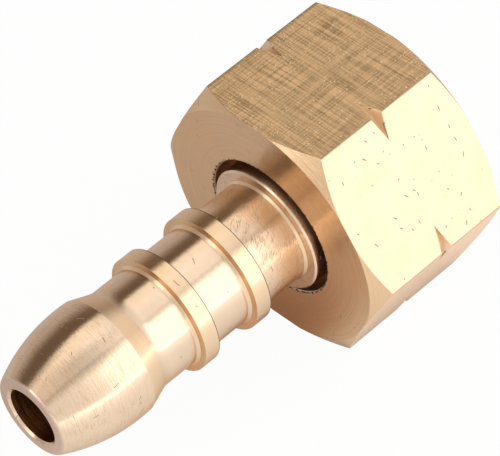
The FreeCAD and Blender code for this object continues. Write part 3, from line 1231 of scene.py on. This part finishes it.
# the room is brighter towards the key light, with a dimmer gap overhead and a brownish wall
ROOM = (1.0, 0.99, 0.97)
WALL = (0.66, 0.59, 0.51)
WALL_WAY = (-85.0, 60.0)
WALL_EDGE = (0.77, 0.93)
GAP_WAY = (0.0, 70.0)
GAP_LEVEL = (0.93, 0.985, 1.0, 0.55)
ROOM_LEVEL = (-0.6, 0.9, 0.78, 1.0)
# what metal sees of the floor, a painted glow: ranges in millimetres, and the level at both ends of each
SIDE_GLOW = (12.0, -12.0, 0.62, 1.08)
FAR_GLOW = (18.0, 45.0, 0.0, 0.15)
NEAR_GLOW = (12.0, 50.0, 0.0, 0.35)
KEY_GLOW = (45.0, 150.0, 0.0, 0.9)
BACK_SHADE = (15.0, 60.0, 0.0, 0.15)
# painted contact shadow: how the part's nearness darkens the glow: the reach in metres, and the level by how
# open the sky is
CONTACT_REACH = 0.03
CONTACT_SHADE = (0.0, 0.9, 0.42, 1.0)
# in front of the nut a painted warm bounce light in the nut's own colour, most at the nut's foot
NUT_FOOT = (-2.2, 1.0, 0.0)
AT_FOOT = (0.62, 0.38, 0.27)
BEFORE_NUT = (1.05, 0.82, 0.68)
FARTHER_BACK = (0.95, 0.86, 0.84)
# how much of the floor is glow to the metal, and plain white to the camera
GLOW_SHARE = 0.85
WHITE_SHARE = 0.96


def direction(azimuth, elevation=0.0):
    """The unit vector towards a place around the object. Azimuth 0 is on the -Y side."""
    azimuth, elevation = math.radians(azimuth), math.radians(elevation)
    across = math.cos(elevation)
    return Vector((math.sin(azimuth) * across, -math.cos(azimuth) * across, math.sin(elevation)))


def towards(maker, way, azimuth, elevation=0.0):
    """How nearly a unit vector points in a direction."""
    return maker.vector("DOT_PRODUCT", way, tuple(direction(azimuth, elevation)))


def add_camera(stage):
    """The camera at the photograph's angle."""
    back = direction(math.degrees(stage.camera_azimuth), math.degrees(stage.camera_elevation))
    data = bpy.data.cameras.new("camera")
    data.lens = stage.lens
    data.clip_start = 0.01
    camera = bpy.data.objects.new("camera", data)
    camera.location = Vector(stage.camera_aim) + back * stage.camera_distance
    camera.rotation_mode = "QUATERNION"
    camera.rotation_quaternion = back.to_track_quat("Z", "Y") @ Quaternion((0, 0, 1), stage.camera_roll)
    bpy.context.scene.collection.objects.link(camera)
    bpy.context.scene.camera = camera


def add_softbox(name, place, way, size, brightness):
    """A rectangular softbox that shines one way, with the brightness that a reflection of it shows."""
    data = bpy.data.lights.new(name, "AREA")
    data.shape = "RECTANGLE"
    data.size, data.size_y = size
    data.energy = math.pi * size[0] * size[1] * brightness
    lamp = bpy.data.objects.new(name, data)
    lamp.location = place
    lamp.rotation_euler = Vector(way).to_track_quat("-Z", "Y").to_euler()
    lamp.visible_camera = False
    bpy.context.scene.collection.objects.link(lamp)


def add_world(stage):
    """Pale surroundings with a warm darker backdrop behind the object, and white for the camera."""
    world = bpy.data.worlds.new("studio")
    world.use_nodes = True
    bpy.context.scene.world = world
    maker = NodeMaker(world.node_tree)
    sky = maker.add("ShaderNodeTexCoord", output="Generated")
    x, y, height = maker.separate(sky)
    way = maker.vector("NORMALIZE", maker.combine(x, y))
    cloth = maker.node("ShaderNodeValToRGB", {"Fac": height})
    stops = cloth.color_ramp.elements
    stops.remove(stops[-1])
    for place, stop_colour in BACKDROP:
        stop = stops[0] if place == 0.0 else stops.new(place)
        stop.color = (*stop_colour, 1.0)
    rise = direction(BACKDROP_RISE_AZIMUTH) * BACKDROP_RISE
    over = maker.ramp(maker.vector("DOT_PRODUCT", sky, (rise.x, rise.y, 1.0)), *BACKDROP_EDGE)
    backdrop = maker.mix(over, maker.outputs(cloth)["Color"], OVER_BACKDROP)
    behind = maker.ramp(towards(maker, way, BACKDROP_AZIMUTH), 0.3, 0.75)
    room = maker.ramp(towards(maker, way, KEY_AZIMUTH), *ROOM_LEVEL) * stage.world_level
    overhead = maker.math("MAXIMUM", room, maker.ramp(height, 0.5, 0.9, 0.0, stage.world_level))
    brightness = overhead * maker.ramp(towards(maker, sky, *GAP_WAY), *GAP_LEVEL)
    tint = maker.mix(maker.ramp(towards(maker, sky, *WALL_WAY), *WALL_EDGE), ROOM, WALL)
    studio = maker.mix(behind, maker.scale(tint, brightness), backdrop)
    seen = maker.add("ShaderNodeLightPath", output="Is Camera Ray")
    maker.join(maker.mix(seen, studio, WHITE), world.node_tree.nodes["Background"].inputs["Color"])


def floor_glow(maker):
    """What metal sees of the floor, a painted glow: painted shadow by the part, painted warm bounce light in
    front of the nut, and painted light towards the key light.
    """
    place = maker.scale(maker.add("ShaderNodeTexCoord", output="Object"), 1 / MM)
    x, y, _ = maker.separate(place)
    distance = maker.vector("LENGTH", place)
    flat = maker.combine(x, y)
    way = maker.vector("NORMALIZE", flat)
    sides = maker.ramp(y, *SIDE_GLOW) + maker.ramp(y, *FAR_GLOW) + maker.ramp(y * -1.0, *NEAR_GLOW)
    key = maker.ramp(towards(maker, way, KEY_AZIMUTH), 0.3, 0.8) * maker.ramp(distance, *KEY_GLOW)
    back = maker.ramp(towards(maker, way, BACKDROP_AZIMUTH), 0.2, 0.8) * maker.ramp(distance, *BACK_SHADE)
    open_sky = maker.add("ShaderNodeAmbientOcclusion", {"Distance": CONTACT_REACH}, "AO", samples=8)
    from_foot = maker.ramp(maker.vector("DISTANCE", flat, NUT_FOOT), 1.0, 9.0)
    warm = maker.mix(maker.ramp(y, 5.0, 12.0), maker.mix(from_foot, AT_FOOT, BEFORE_NUT), FARTHER_BACK)
    before_nut = maker.ramp(y, -6.0, -2.0) * maker.ramp(x, -22.0, -14.0)
    return maker.mix(before_nut, WHITE, warm), (sides + key - back) * maker.ramp(open_sky, *CONTACT_SHADE)


def add_floor(stage):
    """A plain pale floor that keeps a faint shadow and shows white to the camera; to the metal it shows
    mostly a painted glow.
    """
    half = FLOOR_SIZE / 2
    corners = ((-half, -half), (half, -half), (half, half), (-half, half))
    mesh = bpy.data.meshes.new("floor")
    mesh.from_pydata([(x, y, nut_low.z - FLOOR_DEPTH) for x, y in corners], [], [(0, 1, 2, 3)])
    floor = bpy.data.objects.new("floor", mesh)
    bpy.context.scene.collection.objects.link(floor)
    material = bpy.data.materials.new("pale_floor")
    material.use_nodes = True
    nodes = material.node_tree.nodes
    nodes.remove(nodes["Principled BSDF"])
    maker = NodeMaker(material.node_tree)
    shade, brightness = floor_glow(maker)
    paint = maker.add("ShaderNodeBsdfDiffuse", {"Color": (*stage.floor_colour, 1.0)})
    white = maker.add("ShaderNodeEmission", {"Color": (*WHITE, 1.0), "Strength": 1.0})
    glow = maker.add("ShaderNodeEmission", {"Color": shade, "Strength": brightness})
    path = maker.outputs(maker.node("ShaderNodeLightPath"))
    reflected = maker.math("MAXIMUM", path["Is Glossy Ray"], path["Is Transmission Ray"])
    seen = path["Is Camera Ray"] * WHITE_SHARE
    for_metal = maker.add("ShaderNodeMixShader", {0: reflected * GLOW_SHARE, 1: paint, 2: glow})
    for_camera = maker.add("ShaderNodeMixShader", {0: seen, 1: for_metal, 2: white})
    maker.join(for_camera, nodes["Material Output"].inputs["Surface"])
    mesh.materials.append(material)


# Operators

TAIL_MEAN_RADIUS = 4 * MM


class AddHoseTail(bpy.types.Operator):
    """Add the turned hose tail with its nose, ribs, collar, flange and seat"""

    bl_idname = "connector.add_tail"
    bl_label = "Add Hose Tail"

    def execute(self, context):
        sizes = context.scene.tail_sizes
        outline = tail_outline(sizes)
        points = [(x, 0.0, r) for x, r, _ in outline]
        mesh = finished_mesh("hose_tail_outline", points, [], [finish for _, _, finish in outline])
        values = {
            "Segments": sizes.segments,
            "Mean Radius": TAIL_MEAN_RADIUS,
            "Turned": brass(turned_brass),
            "Bored": brass(bored_brass),
        }
        piece = made_real("hose_tail_turned", mesh, turning_tree(), values)
        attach(piece, "hose_tail")
        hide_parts("hose_tail")
        return {"FINISHED"}


class AddUnionNut(bpy.types.Operator):
    """Add the hexagon union nut with its notched corners and its left-hand thread"""

    bl_idname = "connector.add_nut"
    bl_label = "Add Union Nut"

    def execute(self, context):
        sizes = context.scene.nut_sizes
        values = {
            "Pitch": sizes.thread_pitch,
            "Major Radius": sizes.thread_major,
            "Minor Radius": mount_radius("union_thread"),
            "Softness": sizes.thread_rounding,
            "Start": sizes.relief_corner * THREAD_CLEAR,
            "Mean Radius": nut_apothem,
            "Turned": brass(turned_brass),
            "Drawn": brass(drawn_brass),
            "Bored": brass(bored_brass),
        }
        piece = made_real("union_nut_threaded", nut_mesh(sizes), thread_tree(), values)
        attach(piece, "union_nut")
        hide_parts("union_nut")
        return {"FINISHED"}


class AddStage(bpy.types.Operator):
    """Add the camera, the softboxes, the surroundings and the floor"""

    bl_idname = "connector.add_stage"
    bl_label = "Add Stage"

    def execute(self, context):
        stage = context.scene.stage_settings
        context.scene.view_settings.view_transform = "Standard"
        add_camera(stage)
        for name, azimuth, elevation, size, brightness in (
            ("key_softbox", KEY_AZIMUTH, 18.0, (0.5, 0.69), stage.key_level),
            ("left_softbox", -98.0, 14.0, (0.3, 0.46), stage.left_level),
            ("edge_lamp", -106.0, 28.0, (0.16, 0.4), stage.edge_level),
        ):
            way = direction(azimuth, elevation)
            add_softbox(name, way * LAMP_DISTANCE, -way, size, brightness)
        add_softbox("top_softbox", TOP_PLACE, (0.0, 0.0, -1.0), TOP_SIZE, stage.top_level)
        add_world(stage)
        add_floor(stage)
        return {"FINISHED"}


class ConnectorPanel(bpy.types.Panel):
    """Lists the pieces of the connector and their sizes"""

    bl_idname = "VIEW3D_PT_gas_hose_connector"
    bl_label = "Gas Hose Connector"
    bl_space_type = "VIEW_3D"
    bl_region_type = "UI"
    bl_category = "Connector"

    def draw(self, context):
        scene = context.scene
        parts = (
            (AddHoseTail, scene.tail_sizes),
            (AddUnionNut, scene.nut_sizes),
            (AddStage, scene.stage_settings),
            (None, scene.brass_colours),
        )
        for operator, settings in parts:
            box = self.layout.box()
            if operator:
                box.operator(operator.bl_idname)
            for name in settings.__annotations__:
                box.prop(settings, name)


SETTINGS = {
    "tail_sizes": TailSizes,
    "nut_sizes": NutSizes,
    "brass_colours": BrassColours,
    "stage_settings": StageSettings,
}
CLASSES = (*SETTINGS.values(), AddHoseTail, AddUnionNut, AddStage, ConnectorPanel)


def register():
    """Adds the classes and their settings to Blender."""
    for cls in CLASSES:
        bpy.utils.register_class(cls)
    for name, cls in SETTINGS.items():
        setattr(bpy.types.Scene, name, PointerProperty(type=cls))


def unregister():
    """Takes the settings and the classes away again."""
    for name in SETTINGS:
        delattr(bpy.types.Scene, name)
    for cls in reversed(CLASSES):
        bpy.utils.unregister_class(cls)


def box_lists(box):
    """A box's two corners as plain lists."""
    return [list(corner) for corner in box]


def main():
    """Builds the connector and its stage."""
    register()
    bpy.ops.connector.add_tail()
    bpy.ops.connector.add_nut()
    bpy.ops.connector.add_stage()


if __name__ == "__main__":
    main()
